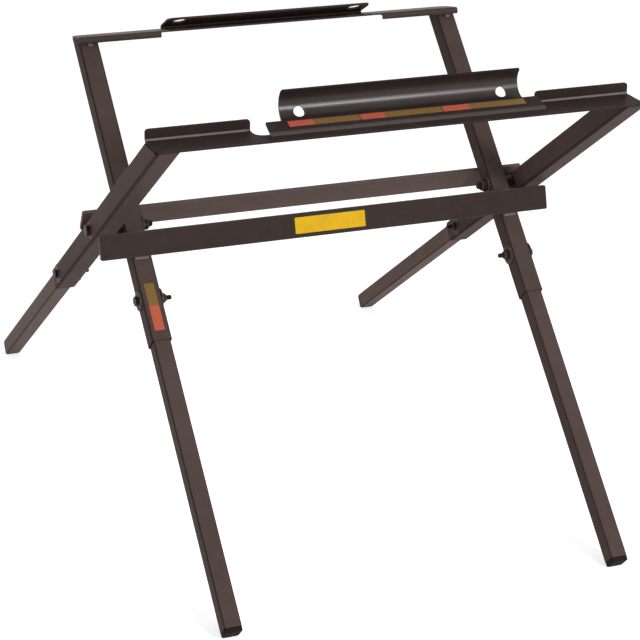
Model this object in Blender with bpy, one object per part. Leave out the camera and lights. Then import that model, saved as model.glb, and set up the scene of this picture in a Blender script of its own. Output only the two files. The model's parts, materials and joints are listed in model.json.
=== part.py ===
# Folding stand for a bench table saw: two steel frames that cross like scissors.
# +X is the stand's right side, -Y its front and +Z up. Metres.
# The origin is on the floor, at the centre of the outline seen from above.
# The outer frame leans forward and carries the front rail. The inner frame leans back
# and carries the rear rail. Each leg is a square tube with a smaller one bolted in below.

import math

import bmesh
import bpy
from mathutils import Vector

# The whole stand
overall_width = 0.597
pivot_height = 0.3723
outer_lean = math.radians(54.96)
inner_lean = math.radians(46.23)

# Clearances: between pieces that touch, and past a face that a cutter goes through
fit_gap = 0.0003
overrun = 0.004

# Leg tubes
leg_side = 0.0254
leg_wall = 0.0015
leg_corner = 0.003
frame_gap = 0.0126

# Lower legs, which slide into the leg tubes
foot_leg_wall = 0.0015
foot_leg_corner = 0.0025
foot_leg_overlap = 0.060
inner_joint_drop = 0.102
outer_joint_drop = 0.2042
inner_tube_drop = 0.1612
outer_tube_drop = 0.2326

# Foot plugs
plug_head = 0.0055
plug_depth = 0.022
plug_chamfer = 0.0012

# Folded steel sheet of the rails
sheet = 0.0025
sheet_bend = 0.0045

# Front rail, a folded angle on top of the outer legs
front_rail_level = 0.556
front_overhang = 0.0005
front_plate_depth = 0.0446
front_flange_rise = 0.0132
front_flange_length = 0.122
front_notch_depth = 0.021
front_notch_fillet = 0.011
front_plate_corner = 0.005
flange_corner = 0.004

# Saddle welded along the front rail: a step, a shelf and a hollow lip
saddle_end_gap = 0.0082
saddle_rise = 0.0084
saddle_bend = 0.004
shelf_length = 0.0226
shelf_slope = math.radians(18)
lip_radius = 0.018
lip_end_angle = math.radians(55)
lip_inset = 0.0208
lip_taper = 0.0015
lip_corner = 0.0025
front_hole_radius = 0.007
front_hole_inset = 0.0233
front_hole_angle = math.radians(-39)

# Rear rail, one folded sheet on top of the inner legs
rear_rail_level = 0.5674
rear_rail_past_leg = 0.002
rear_plate_depth = 0.045
rear_slope = math.radians(13)
rear_overhang = 0.0146
rear_flange_drop = 0.0075
rear_flange_length = 0.1089
rear_strip = 0.009
rear_neck_inset = 0.0076
rear_notch_fillet = 0.010
rear_corner = 0.013
hook_inset = 0.007
hook_root_radius = 0.0045
hook_length = 0.0306
hook_slope = math.radians(24.5)
hook_corner = 0.007
hook_hole_radius = 0.0075
hook_hole_inset = 0.0173
hook_hole_back = 0.010

# Cross bars, flat steel across the legs. The rear one stops the frames from opening further
bar_height = 0.031
bar_depth = 0.0048
bar_corner = 0.0025
bar_edge = 0.0006
bar_past_leg = 0.0015
front_bar_drop = 0.0492
front_bar_lean = math.radians(15.6)
rear_bar_drop = 0.0465
rear_bar_lean = math.radians(28.5)

# Bolts through the leg joints
joint_bolt_radius = 0.003
joint_head_flats = 0.0105
joint_head_height = 0.0045
joint_nut_height = 0.0062
joint_thread_out = 0.0065
joint_washer_radius = 0.0125
joint_washer_height = 0.0016

# Bolts at the scissor pivots
pivot_bolt_radius = 0.004
pivot_head_flats = 0.013
pivot_head_height = 0.0055
pivot_nut_height = 0.0078
pivot_thread_out = 0.004
pivot_washer_radius = 0.011
pivot_washer_height = 0.0016
spacer_radius = 0.0095
head_chamfer = 0.0008
bore_clearance = 0.0003

# Counts of sides round corners, bends and holes
corner_steps = 3
bend_steps = 4
lip_steps = 12
round_steps = 24
bolt_sides = 12

# Sizes that follow from those above
foot_leg_side = leg_side - 2 * leg_wall - 2 * fit_gap
outer_leg_x = (overall_width - leg_side) / 2
inner_leg_x = outer_leg_x - leg_side - frame_gap

# Half widths of the rails' parts, each set in from the one outside it
front_flange_inner = overall_width / 2 - front_flange_length
saddle_half = front_flange_inner - saddle_end_gap
lip_half = saddle_half - lip_inset
front_hole_x = lip_half - front_hole_inset
rear_rail_half = inner_leg_x + leg_side / 2 + rear_rail_past_leg
rear_flange_inner = rear_rail_half - rear_flange_length
rear_neck_half = rear_flange_inner - rear_neck_inset
hook_half = rear_neck_half - hook_inset
hook_hole_x = hook_half - hook_hole_inset


def foot_reach(lean):
    """Distance from the pivot down the leg to its end, so that the end's low corner meets the floor."""
    side_corner = (pivot_height - foot_leg_side / 2 * math.sin(lean)) / math.cos(lean) + plug_chamfer
    end_corner = (pivot_height - (foot_leg_side / 2 - plug_chamfer) * math.sin(lean)) / math.cos(lean)
    return min(side_corner, end_corner)


def ground_reach(lean):
    """Distance on the floor plan from the pivot to the leg's farthest point."""
    end = foot_reach(lean)
    half = foot_leg_side / 2
    low = end * math.sin(lean) + (half - plug_chamfer) * math.cos(lean)
    high = (end - plug_chamfer) * math.sin(lean) + half * math.cos(lean)
    return max(low, high)


pivot_y = (ground_reach(inner_lean) - ground_reach(outer_lean)) / 2


def clear_scene():
    for old in list(bpy.data.objects):
        bpy.data.objects.remove(old, do_unlink=True)


def make_material(name, color, roughness, metallic):
    made = bpy.data.materials.new(name)
    made.use_nodes = True
    shader = made.node_tree.nodes["Principled BSDF"]
    shader.inputs["Base Color"].default_value = (*color, 1)
    shader.inputs["Roughness"].default_value = roughness
    shader.inputs["Metallic"].default_value = metallic
    return made


def make_empty(name, location, lean=0):
    made = bpy.data.objects.new(name, None)
    made.location = location
    made.rotation_euler.x = lean
    bpy.context.scene.collection.objects.link(made)
    return made


def place(mesh_object, parent, finish):
    mesh_object.parent = parent
    if finish:
        mesh_object.data.materials.append(finish)
    return mesh_object


def object_from(bm, name, smooth=False):
    bmesh.ops.recalc_face_normals(bm, faces=bm.faces)
    mesh = bpy.data.meshes.new(name)
    bm.to_mesh(mesh)
    bm.free()
    if smooth:
        mesh.shade_smooth()
        mesh.set_sharp_from_angle(angle=math.radians(35))
    made = bpy.data.objects.new(name, mesh)
    bpy.context.scene.collection.objects.link(made)
    return made


def skin(name, loops, closed=False, smooth=False):
    """Joins loops with equal counts of points into one solid. A closed one goes back to its first loop."""
    bm = bmesh.new()
    rings = [[bm.verts.new(point) for point in loop] for loop in loops]
    pairs = list(zip(rings, rings[1:]))
    if closed:
        pairs.append((rings[-1], rings[0]))
    for low, high in pairs:
        for index in range(len(low)):
            after = (index + 1) % len(low)
            bm.faces.new((low[index], low[after], high[after], high[index]))
    if not closed:
        bm.faces.new(rings[0])
        bm.faces.new(rings[-1])
    return object_from(bm, name, smooth)


def extrude_outline(name, outline, low, high, axis="X", smooth=False):
    """A prism along X from (y, z) points, or along Z from (x, y) points."""
    bm = bmesh.new()
    if axis == "X":
        points = [(low, first, second) for first, second in outline]
        move = Vector((high - low, 0, 0))
    else:
        points = [(first, second, low) for first, second in outline]
        move = Vector((0, 0, high - low))
    face = bm.faces.new([bm.verts.new(point) for point in points])
    grown = bmesh.ops.extrude_face_region(bm, geom=[face])
    moved = [item for item in grown["geom"] if isinstance(item, bmesh.types.BMVert)]
    bmesh.ops.translate(bm, verts=moved, vec=move)
    return object_from(bm, name, smooth)


def arc(centre, radius, start, end, steps):
    """Points on a circle from one angle to another, both ends included."""
    points = []
    for step in range(steps + 1):
        angle = start + (end - start) * step / steps
        points.append((centre[0] + radius * math.cos(angle), centre[1] + radius * math.sin(angle)))
    return points


def rounded_rectangle(left, low, right, high, radius, steps=corner_steps):
    quarter = math.pi / 2
    corners = ((right, high), (left, high), (left, low), (right, low))
    points = []
    for turn, (x, y) in enumerate(corners):
        inward_x = math.copysign(radius, x - (left + right) / 2)
        inward_y = math.copysign(radius, y - (low + high) / 2)
        centre = (x - inward_x, y - inward_y)
        points += arc(centre, radius, turn * quarter, (turn + 1) * quarter, steps)
    return points


def rounded_square(side, radius):
    return rounded_rectangle(-side / 2, -side / 2, side / 2, side / 2, radius)


def walk(start, moves):
    """Follows straight runs and bends from a point, and returns the points passed.
    A move is a direction to set, a length to run, or a radius with the angle to turn through."""
    points = [Vector(start)]
    heading = 0
    for kind, *values in moves:
        if kind == "face":
            heading = values[0]
        elif kind == "run":
            points.append(points[-1] + values[0] * Vector((math.cos(heading), math.sin(heading))))
        else:
            radius, turn, steps = values
            side = math.copysign(1, turn)
            centre = points[-1] + side * radius * Vector((-math.sin(heading), math.cos(heading)))
            first = heading - side * math.pi / 2
            bend = arc(centre, radius, first, first + turn, steps)
            points += [Vector(point) for point in bend[1:]]
            heading += turn
    return points


def thicken(points, thickness):
    """Closes a walked line into a strip, with its thickness on the right of the way walked."""
    normals = []
    for before, after in zip(points, points[1:]):
        along = (after - before).normalized()
        normals.append(Vector((along.y, -along.x)))
    other = []
    for index, point in enumerate(points):
        first = normals[max(index - 1, 0)]
        second = normals[min(index, len(normals) - 1)]
        middle = (first + second).normalized()
        other.append(point + middle * thickness / middle.dot(second))
    return [tuple(point) for point in points] + [tuple(point) for point in reversed(other)]


def ring_points(radius, x, sides=bolt_sides):
    """A circle round the X axis, with a vertex on every flat and corner of a hexagon."""
    return [
        (x, radius * math.cos(2 * math.pi * step / sides), radius * math.sin(2 * math.pi * step / sides))
        for step in range(sides)
    ]


def hexagon_points(flats, x):
    """A hexagon round the X axis, with six corners and the middles of its six sides."""
    points = []
    for step in range(bolt_sides):
        radius = flats / 2 if step % 2 else flats / 2 / math.cos(math.pi / 6)
        angle = 2 * math.pi * step / bolt_sides
        points.append((x, radius * math.cos(angle), radius * math.sin(angle)))
    return points


def cut(target, cutter):
    cutter.hide_render = True
    cutter.display_type = "WIRE"
    made = target.modifiers.new("cut " + cutter.name, "BOOLEAN")
    made.operation = "DIFFERENCE"
    made.solver = "EXACT"
    made.object = cutter


def bore_cutter(name, parent, radius, low_x, high_x, drop):
    """A round cutter along X, at a distance down the leg."""
    made = skin(name, [ring_points(radius, low_x), ring_points(radius, high_x)])
    made.location.z = -drop
    return place(made, parent, None)


def leg_end(lean, level, slope, outward):
    """How far up the leg its top is cut at a point of its section, to lie under a rail.
    level is the rail's underside above the pivot where it crosses the leg's centre line,
    and outward is 1 for a leg that leans back and -1 for one that leans forward."""
    rise = math.cos(lean) + math.tan(slope) * math.sin(lean)

    def height(section_y):
        drop = outward * section_y * math.sin(lean) - section_y * math.cos(lean) * math.tan(slope)
        return (level + drop) / rise

    return height


def leg_tube(name, parent, finish, x, drop, top):
    """A square tube, open at both ends, cut at its top by the rail's underside."""
    outer = rounded_square(leg_side, leg_corner)
    inner = rounded_square(leg_side - 2 * leg_wall, leg_corner - leg_wall)
    loops = [
        [(px, py, -drop) for px, py in outer],
        [(px, py, top(py)) for px, py in outer],
        [(px, py, top(py)) for px, py in inner],
        [(px, py, -drop) for px, py in inner],
    ]
    made = skin(name, loops, closed=True, smooth=True)
    made.location.x = x
    return place(made, parent, finish)


def foot_leg(name, parent, finish, x, top_drop, end_drop):
    """The smaller square tube, from inside the leg tube down to its plug."""
    outer = rounded_square(foot_leg_side, foot_leg_corner)
    inner = rounded_square(foot_leg_side - 2 * foot_leg_wall, foot_leg_corner - foot_leg_wall)
    loops = [
        [(px, py, -end_drop) for px, py in outer],
        [(px, py, -top_drop) for px, py in outer],
        [(px, py, -top_drop) for px, py in inner],
        [(px, py, -end_drop) for px, py in inner],
    ]
    made = skin(name, loops, closed=True, smooth=True)
    made.location.x = x
    return place(made, parent, finish)


def foot_plug(name, parent, finish, x, end_drop):
    """A plastic plug with a head as wide as the tube and a shank inside it."""
    shank_side = foot_leg_side - 2 * foot_leg_wall - 2 * fit_gap
    shank = rounded_square(shank_side, foot_leg_corner - foot_leg_wall)
    head = rounded_square(foot_leg_side, foot_leg_corner)
    sole = rounded_square(foot_leg_side - 2 * plug_chamfer, foot_leg_corner - plug_chamfer)
    neck_z = -end_drop + plug_head
    loops = [
        [(px, py, neck_z + plug_depth) for px, py in shank],
        [(px, py, neck_z) for px, py in shank],
        [(px, py, neck_z) for px, py in head],
        [(px, py, -end_drop + plug_chamfer) for px, py in head],
        [(px, py, -end_drop) for px, py in sole],
    ]
    made = skin(name, loops, smooth=True)
    made.location.x = x
    return place(made, parent, finish)


def hex_bolt(name, parent, finish, side, face_x, flats, head_height, radius, length, drop):
    """A hex head outside face_x, and a shank that runs inwards from it."""
    tip = face_x - side * length
    loops = [
        ring_points(flats / 2 - head_chamfer, face_x + side * head_height),
        hexagon_points(flats, face_x + side * (head_height - head_chamfer)),
        hexagon_points(flats, face_x),
        ring_points(radius, face_x),
        ring_points(radius, tip + side * head_chamfer),
        ring_points(radius - head_chamfer, tip),
    ]
    made = skin(name, loops, smooth=True)
    made.location.z = -drop
    return place(made, parent, finish)


def sleeve(name, parent, finish, low_x, high_x, outer, inner, drop):
    """A washer or a spacer: a round ring along X."""
    loops = [
        ring_points(outer, low_x, round_steps),
        ring_points(outer, high_x, round_steps),
        ring_points(inner, high_x, round_steps),
        ring_points(inner, low_x, round_steps),
    ]
    made = skin(name, loops, closed=True, smooth=True)
    made.location.z = -drop
    return place(made, parent, finish)


def hex_nut(name, parent, finish, side, face_x, flats, height, bore, drop):
    """A hex nut inside face_x, with both of its ends chamfered."""
    far = face_x - side * height
    loops = [
        ring_points(bore, face_x),
        ring_points(flats / 2, face_x),
        hexagon_points(flats, face_x - side * head_chamfer),
        hexagon_points(flats, far + side * head_chamfer),
        ring_points(flats / 2 - head_chamfer, far),
        ring_points(bore, far),
    ]
    made = skin(name, loops, closed=True, smooth=True)
    made.location.z = -drop
    return place(made, parent, finish)


def joint_hardware(prefix, side_name, side, parent, steel, leg_x, drop):
    """The bolt, washers and nut that hold a lower leg in its tube."""
    outside = side * (leg_x + leg_side / 2 + fit_gap)
    inside = side * (leg_x - leg_side / 2 - fit_gap)
    seat = outside + side * (joint_washer_height + fit_gap)
    nut_seat = inside - side * (joint_washer_height + fit_gap)
    bore = joint_bolt_radius + bore_clearance
    length = abs(seat - nut_seat) + joint_nut_height + joint_thread_out
    hex_bolt(
        f"{prefix}_joint_bolt_{side_name}", parent, steel, side, seat, joint_head_flats,
        joint_head_height, joint_bolt_radius, length, drop,
    )
    sleeve(
        f"{prefix}_joint_washer_outside_{side_name}", parent, steel,
        outside, outside + side * joint_washer_height, joint_washer_radius, bore, drop,
    )
    sleeve(
        f"{prefix}_joint_washer_inside_{side_name}", parent, steel,
        inside, inside - side * joint_washer_height, joint_washer_radius, bore, drop,
    )
    hex_nut(
        f"{prefix}_joint_nut_{side_name}", parent, steel, side, nut_seat, joint_head_flats,
        joint_nut_height, bore, drop,
    )


def pivot_hardware(side_name, side, parent, steel):
    """The scissor bolt with its washers, its nut and the spacer between the two legs."""
    outside = side * (outer_leg_x + leg_side / 2 + fit_gap)
    between_outer = side * (outer_leg_x - leg_side / 2 - fit_gap)
    between_inner = side * (inner_leg_x + leg_side / 2 + fit_gap)
    inside = side * (inner_leg_x - leg_side / 2 - fit_gap)
    seat = outside + side * (pivot_washer_height + fit_gap)
    nut_seat = inside - side * (pivot_washer_height + fit_gap)
    bore = pivot_bolt_radius + bore_clearance
    length = abs(seat - nut_seat) + pivot_nut_height + pivot_thread_out
    hex_bolt(
        f"pivot_bolt_{side_name}", parent, steel, side, seat, pivot_head_flats,
        pivot_head_height, pivot_bolt_radius, length, 0,
    )
    sleeve(
        f"pivot_washer_outside_{side_name}", parent, steel,
        outside, outside + side * pivot_washer_height, pivot_washer_radius, bore, 0,
    )
    sleeve(f"pivot_spacer_{side_name}", parent, steel, between_outer, between_inner, spacer_radius, bore, 0)
    sleeve(
        f"pivot_washer_inside_{side_name}", parent, steel,
        inside, inside - side * pivot_washer_height, pivot_washer_radius, bore, 0,
    )
    hex_nut(
        f"pivot_nut_{side_name}", parent, steel, side, nut_seat, pivot_head_flats,
        pivot_nut_height, bore, 0,
    )


def build_leg(prefix, side_name, side, parent, finishes, leg_x, lean, joint_drop, tube_drop, top):
    """A leg tube with its lower leg, foot plug and joint bolt, and the holes for both bolts."""
    paint, plastic, steel = finishes
    x = side * leg_x
    end = foot_reach(lean)
    tube = leg_tube(f"{prefix}_leg_{side_name}", parent, paint, x, tube_drop, top)
    lower = foot_leg(
        f"{prefix}_lower_leg_{side_name}", parent, paint, x,
        joint_drop - foot_leg_overlap / 2, end - plug_head - fit_gap,
    )
    foot_plug(f"{prefix}_foot_{side_name}", parent, plastic, x, end)
    low_x = x - leg_side / 2 - overrun
    high_x = x + leg_side / 2 + overrun
    joint_bore = bore_cutter(
        f"{prefix}_joint_bore_{side_name}", parent, joint_bolt_radius + bore_clearance,
        low_x, high_x, joint_drop,
    )
    pivot_bore = bore_cutter(
        f"{prefix}_pivot_bore_{side_name}", parent, pivot_bolt_radius + bore_clearance, low_x, high_x, 0
    )
    cut(tube, joint_bore)
    cut(tube, pivot_bore)
    cut(lower, joint_bore)
    joint_hardware(prefix, side_name, side, parent, steel, leg_x, joint_drop)


def outer_top():
    """Where the outer legs are cut: level, under the front rail."""
    level = front_rail_level - sheet - fit_gap - pivot_height
    return leg_end(outer_lean, level, 0, -1)


def front_edge_y():
    """The front rail's front edge, ahead of the front of the cut legs."""
    low = outer_top()(-leg_side / 2)
    return pivot_y - low * math.sin(outer_lean) - leg_side / 2 * math.cos(outer_lean) - front_overhang


def build_front_rail(parent, paint):
    """An angle: a level plate on the leg tops, with an upright flange along its rear edge,
    which is cut away in the middle of the rail."""
    front = front_edge_y()
    path = walk(
        (front, front_rail_level),
        [
            ("run", front_plate_depth - (sheet_bend - sheet)),
            ("bend", sheet_bend - sheet, math.pi / 2, bend_steps),
            ("run", front_flange_rise - (sheet_bend - sheet)),
        ],
    )
    half = overall_width / 2
    rail = extrude_outline("front_rail", thicken(path, sheet), -half, half, smooth=True)
    place(rail, parent, paint)

    crease = front + front_plate_depth
    top = front_rail_level + front_flange_rise
    notch = extrude_outline(
        "front_notch_cutter",
        rounded_rectangle(
            -front_flange_inner, crease - front_notch_depth, front_flange_inner,
            crease + sheet + overrun + front_notch_fillet, front_notch_fillet, bend_steps,
        ),
        front_rail_level - sheet - overrun, top + overrun, axis="Z",
    )
    cut(rail, place(notch, parent, None))
    for side_name, side in (("left", -1), ("right", 1)):
        corner = front_corner_cutter(f"front_corner_cutter_{side_name}", side, front)
        cut(rail, place(corner, parent, None))
    round_flange_corners(rail, parent, "front", (front_flange_inner, half), crease, top)


def front_corner_cutter(name, side, front):
    """Rounds a front corner of the rail's plate."""
    half = overall_width / 2
    centre = (half - front_plate_corner, front + front_plate_corner)
    curve = arc(centre, front_plate_corner, -math.pi / 2, 0, bend_steps)
    outline = [*curve, (half + overrun, centre[1]), (half + overrun, front - overrun)]
    outline.append((centre[0], front - overrun))
    points = [(side * px, py) for px, py in outline]
    low = front_rail_level - sheet - overrun
    return extrude_outline(name, points, low, front_rail_level + overrun, axis="Z")


def round_flange_corners(rail, parent, name, ends, crease, top):
    """Rounds the upper corners of an upright flange with small corner pieces cut off it."""
    inner, outer = ends
    places = [(-outer, 1), (-inner, -1), (inner, 1), (outer, -1)]
    for number, (x, toward) in enumerate(places):
        centre = (x + toward * flange_corner, top - flange_corner)
        start = math.pi if toward > 0 else 0
        curve = arc(centre, flange_corner, start, math.pi / 2, bend_steps)
        corner = (x - toward * overrun, top + overrun)
        outline = [(corner[0], curve[0][1]), *curve, (curve[-1][0], corner[1]), corner]
        bm = bmesh.new()
        face = bm.faces.new([bm.verts.new((px, crease - overrun, pz)) for px, pz in outline])
        grown = bmesh.ops.extrude_face_region(bm, geom=[face])
        moved = [item for item in grown["geom"] if isinstance(item, bmesh.types.BMVert)]
        bmesh.ops.translate(bm, verts=moved, vec=Vector((0, sheet + 2 * overrun, 0)))
        cut(rail, place(object_from(bm, f"{name}_corner_cutter_{number}"), parent, None))


def saddle_path():
    """The saddle's face: up its step, back along the shelf and round the hollow lip."""
    level = front_rail_level + fit_gap
    turn = math.pi / 2 - shelf_slope
    tangent = saddle_bend * math.tan(turn / 2)
    return walk(
        (front_edge_y(), level),
        [
            ("face", math.pi / 2),
            ("run", saddle_rise - fit_gap - tangent),
            ("bend", saddle_bend, -turn, bend_steps),
            ("run", shelf_length - tangent),
            ("bend", lip_radius, lip_end_angle + turn, lip_steps),
        ],
    )


def build_front_saddle(parent, paint):
    path = saddle_path()
    saddle = extrude_outline("front_saddle", thicken(path, sheet), -saddle_half, saddle_half, smooth=True)
    place(saddle, parent, paint)
    shelf_end = path[-1 - lip_steps]
    centre = lip_centre(shelf_end)
    for side_name, side in (("left", -1), ("right", 1)):
        trim = lip_trim(f"lip_trim_{side_name}", side, shelf_end, path[-1].y)
        cut(saddle, place(trim, parent, None))
        hole = lip_hole(f"lip_hole_{side_name}", side * front_hole_x, centre, front_hole_angle)
        cut(saddle, place(hole, parent, None))


def lip_centre(shelf_end):
    """The centre of the lip's hollow, square to the shelf from the point where the lip starts."""
    return shelf_end + lip_radius * Vector((-math.sin(shelf_slope), math.cos(shelf_slope)))


def lip_trim(name, side, shelf_end, high):
    """Takes the ends off the lip, up to where the shelf ends, with a slight taper and a rounded tip."""
    edge_high = lip_half - lip_taper
    outside = saddle_half + overrun
    low = shelf_end.y - sheet - overrun
    crown = arc((edge_high - lip_corner, high - lip_corner), lip_corner, 0, math.pi / 2, bend_steps)
    outline = [(outside, low), (lip_half, low), *crown]
    outline += [(edge_high - lip_corner, high + overrun), (outside, high + overrun)]
    bm = bmesh.new()
    face = bm.faces.new([bm.verts.new((side * px, shelf_end.x, pz)) for px, pz in outline])
    grown = bmesh.ops.extrude_face_region(bm, geom=[face])
    moved = [item for item in grown["geom"] if isinstance(item, bmesh.types.BMVert)]
    bmesh.ops.translate(bm, verts=moved, vec=Vector((0, 2 * lip_radius, 0)))
    return object_from(bm, name)


def hole_prism(name, radius, centre, direction, reach):
    """A round cutter through a sheet, along a direction in the YZ plane."""
    along = Vector((0, math.cos(direction), math.sin(direction)))
    across = Vector((0, -along.z, along.y))
    loops = []
    for end in (-reach, reach):
        loop = []
        for step in range(round_steps):
            angle = 2 * math.pi * step / round_steps
            offset = Vector((radius * math.cos(angle), 0, 0)) + across * radius * math.sin(angle)
            loop.append(centre + offset + along * end)
        loops.append(loop)
    return skin(name, loops)


def lip_hole(name, x, centre, angle):
    middle = lip_radius + sheet / 2
    point = Vector((x, centre.x + middle * math.cos(angle), centre.y + middle * math.sin(angle)))
    return hole_prism(name, front_hole_radius, point, angle, sheet + overrun / 2)


def inner_top():
    """Where the inner legs are cut: along the rear rail's sloping underside."""
    level = rear_plane_height(0) - (sheet + fit_gap) / math.cos(rear_slope) - pivot_height
    return leg_end(inner_lean, level, rear_slope, 1)


def rear_plane_height(distance):
    """Height of the rear rail's top face at a distance behind the pivot, on from its front bend."""
    bend_end = rear_front_edge() + sheet_bend * (1 + math.sin(rear_slope))
    bend_level = rear_rail_level - sheet_bend * (1 - math.cos(rear_slope))
    return bend_level + (bend_end - distance) * math.tan(rear_slope)


def rear_front_edge():
    """The rear rail's front edge, behind the pivot: its overhang ahead of the legs' front faces."""
    face = leg_side / 2
    climb = rear_rail_level - pivot_height - sheet
    leg_front = (climb - face * math.sin(inner_lean)) * math.tan(inner_lean) - face * math.cos(inner_lean)
    return leg_front - rear_overhang


def rear_path():
    """The rear rail's face: up the hanging flange, back along the plate, round the root and up the hook."""
    bend_turn = math.pi / 2 + rear_slope
    outer_bend = sheet_bend
    drop = rear_flange_drop - outer_bend
    hook_turn = math.pi + rear_slope - hook_slope
    run = rear_plate_depth - outer_bend - hook_root_radius - sheet
    start = (pivot_y + rear_front_edge(), rear_rail_level - rear_flange_drop)
    return walk(
        start,
        [
            ("face", math.pi / 2),
            ("run", drop),
            ("bend", outer_bend, -bend_turn, bend_steps),
            ("run", run),
            ("bend", hook_root_radius, hook_turn, 2 * bend_steps),
            ("run", hook_length),
        ],
    )


def build_rear_rail(parent, paint):
    path = rear_path()
    half = rear_rail_half
    rail = extrude_outline("rear_rail", thicken(path, sheet), -half, half, smooth=True)
    place(rail, parent, paint)

    front = path[0].x
    back = front + rear_plate_depth
    low = path[0].y - overrun - rear_plate_depth * math.tan(rear_slope)
    notch = rear_notch_outline(front, back - sheet - rear_strip)
    cutter = extrude_outline("rear_notch_cutter", notch, low, rear_rail_level + overrun, axis="Z")
    cut(rail, place(cutter, parent, None))

    plate_back = rear_plane_height(back - pivot_y)
    for side_name, side in (("left", -1), ("right", 1)):
        trim = hook_trim(f"hook_trim_{side_name}", side, path)
        cut(rail, place(trim, parent, None))
        corner = rear_corner_cutter(f"rear_corner_cutter_{side_name}", side, back, plate_back)
        cut(rail, place(corner, parent, None))
        hole = hook_hole(f"hook_hole_{side_name}", side * hook_hole_x, path)
        cut(rail, place(hole, parent, None))


def rear_notch_outline(front, notch_back):
    """The middle of the plate, cut out from its front edge, narrowing in a curve to the neck."""
    fillet = rear_notch_fillet
    side = []
    side.append((rear_flange_inner, front - overrun))
    side.append((rear_flange_inner, front + sheet_bend))
    side += arc((rear_neck_half - fillet, notch_back - fillet), fillet, 0, math.pi / 2, bend_steps)
    return side + [(-x, y) for x, y in reversed(side)]


def hook_trim(name, side, path):
    """Takes the hook off the rail's ends and rounds the hook's tips."""
    root = path[-2]
    tip = path[-1]
    run = tip - root
    steps = arc((0, 0), hook_corner, 0, math.pi / 2, bend_steps)
    outside = rear_rail_half + overrun
    outline = [(outside, 0), (hook_half, 0)]
    outline += [(hook_half - hook_corner + px, run.length - hook_corner + py) for px, py in steps]
    outline += [(hook_half - hook_corner, run.length + overrun), (outside, run.length + overrun)]
    along = run.normalized()
    across = Vector((-along.y, along.x))
    bm = bmesh.new()
    corners = []
    for px, distance in outline:
        base = root + along * distance + across * overrun
        corners.append(bm.verts.new((side * px, base.x, base.y)))
    face = bm.faces.new(corners)
    grown = bmesh.ops.extrude_face_region(bm, geom=[face])
    moved = [item for item in grown["geom"] if isinstance(item, bmesh.types.BMVert)]
    shift = -across * (sheet + 2 * overrun)
    bmesh.ops.translate(bm, verts=moved, vec=Vector((0, shift.x, shift.y)))
    return object_from(bm, name)


def rear_corner_cutter(name, side, back, low):
    """Takes the root bend off the plate's ends and rounds the plate's rear corner."""
    outer = rear_rail_half
    edge = back - hook_root_radius - sheet
    curve = arc((outer - rear_corner, edge - rear_corner), rear_corner, 0, math.pi / 2, bend_steps)
    outline = [(outer + overrun, edge - rear_corner), *curve, (hook_half, edge)]
    outline += [(hook_half, back + overrun), (outer + overrun, back + overrun)]
    points = [(side * px, py) for px, py in outline]
    reach = 4 * (hook_root_radius + sheet)
    return extrude_outline(name, points, low - reach, low + reach, axis="Z")


def hook_hole(name, x, path):
    along = (path[-2] - path[-1]).normalized()
    point = path[-1] + along * hook_hole_back + Vector((-along.y, along.x)) * sheet / 2
    direction = math.atan2(along.x, -along.y)
    return hole_prism(name, hook_hole_radius, Vector((x, point.x, point.y)), direction, sheet + overrun / 2)


def build_bar(name, origin, paint, toward, leg_lean, drop, lean):
    """A flat bar across the legs, its lower edge on the face of the legs that carry it.
    toward is -1 for the front bar and 1 for the rear one, and drop runs down the leg from the pivot."""
    down = Vector((0, toward * math.sin(leg_lean), -math.cos(leg_lean)))
    out = Vector((0, toward * math.cos(leg_lean), math.sin(leg_lean)))
    half = overall_width / 2 + bar_past_leg
    loops = []
    for inset, distance in ((bar_edge, 0), (0, bar_edge), (0, bar_depth - bar_edge), (bar_edge, bar_depth)):
        outline = rounded_rectangle(
            inset - half, inset, half - inset, bar_height - inset, bar_corner - inset, bend_steps
        )
        loops.append([(px, toward * distance, pz) for px, pz in outline])
    bar = skin(name, loops, smooth=True)
    bar.location = origin + down * drop + out * (leg_side / 2 + fit_gap)
    bar.rotation_euler.x = toward * lean
    bar.data.materials.append(paint)
    return bar


def keep_in_place(child, parent):
    """Hangs a piece on an empty without moving it."""
    bpy.context.view_layer.update()
    child.parent = parent
    child.matrix_parent_inverse = parent.matrix_world.inverted()


def main():
    clear_scene()
    paint = make_material("powder_coat", (0.055, 0.046, 0.044), 0.42, 0.25)
    plastic = make_material("foot_plastic", (0.014, 0.013, 0.013), 0.6, 0)
    steel = make_material("fastener_steel", (0.075, 0.075, 0.08), 0.35, 0.9)
    finishes = (paint, plastic, steel)

    origin = Vector((0, pivot_y, pivot_height))
    outer_frame = make_empty("outer_frame", origin, outer_lean)
    inner_frame = make_empty("inner_frame", origin, -inner_lean)
    outer_level = make_empty("outer_frame_level", (0, 0, 0))
    inner_level = make_empty("inner_frame_level", (0, 0, 0))
    keep_in_place(outer_level, outer_frame)
    keep_in_place(inner_level, inner_frame)

    for side_name, side in (("left", -1), ("right", 1)):
        build_leg(
            "outer", side_name, side, outer_frame, finishes,
            outer_leg_x, outer_lean, outer_joint_drop, outer_tube_drop, outer_top(),
        )
        build_leg(
            "inner", side_name, side, inner_frame, finishes,
            inner_leg_x, inner_lean, inner_joint_drop, inner_tube_drop, inner_top(),
        )
        pivot_hardware(side_name, side, outer_frame, steel)

    build_front_rail(outer_level, paint)
    build_front_saddle(outer_level, paint)
    build_rear_rail(inner_level, paint)
    front_bar = build_bar("front_bar", origin, paint, -1, inner_lean, front_bar_drop, front_bar_lean)
    rear_bar = build_bar("rear_bar", origin, paint, 1, outer_lean, rear_bar_drop, rear_bar_lean)
    keep_in_place(front_bar, inner_frame)
    keep_in_place(rear_bar, outer_frame)


main()
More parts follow.
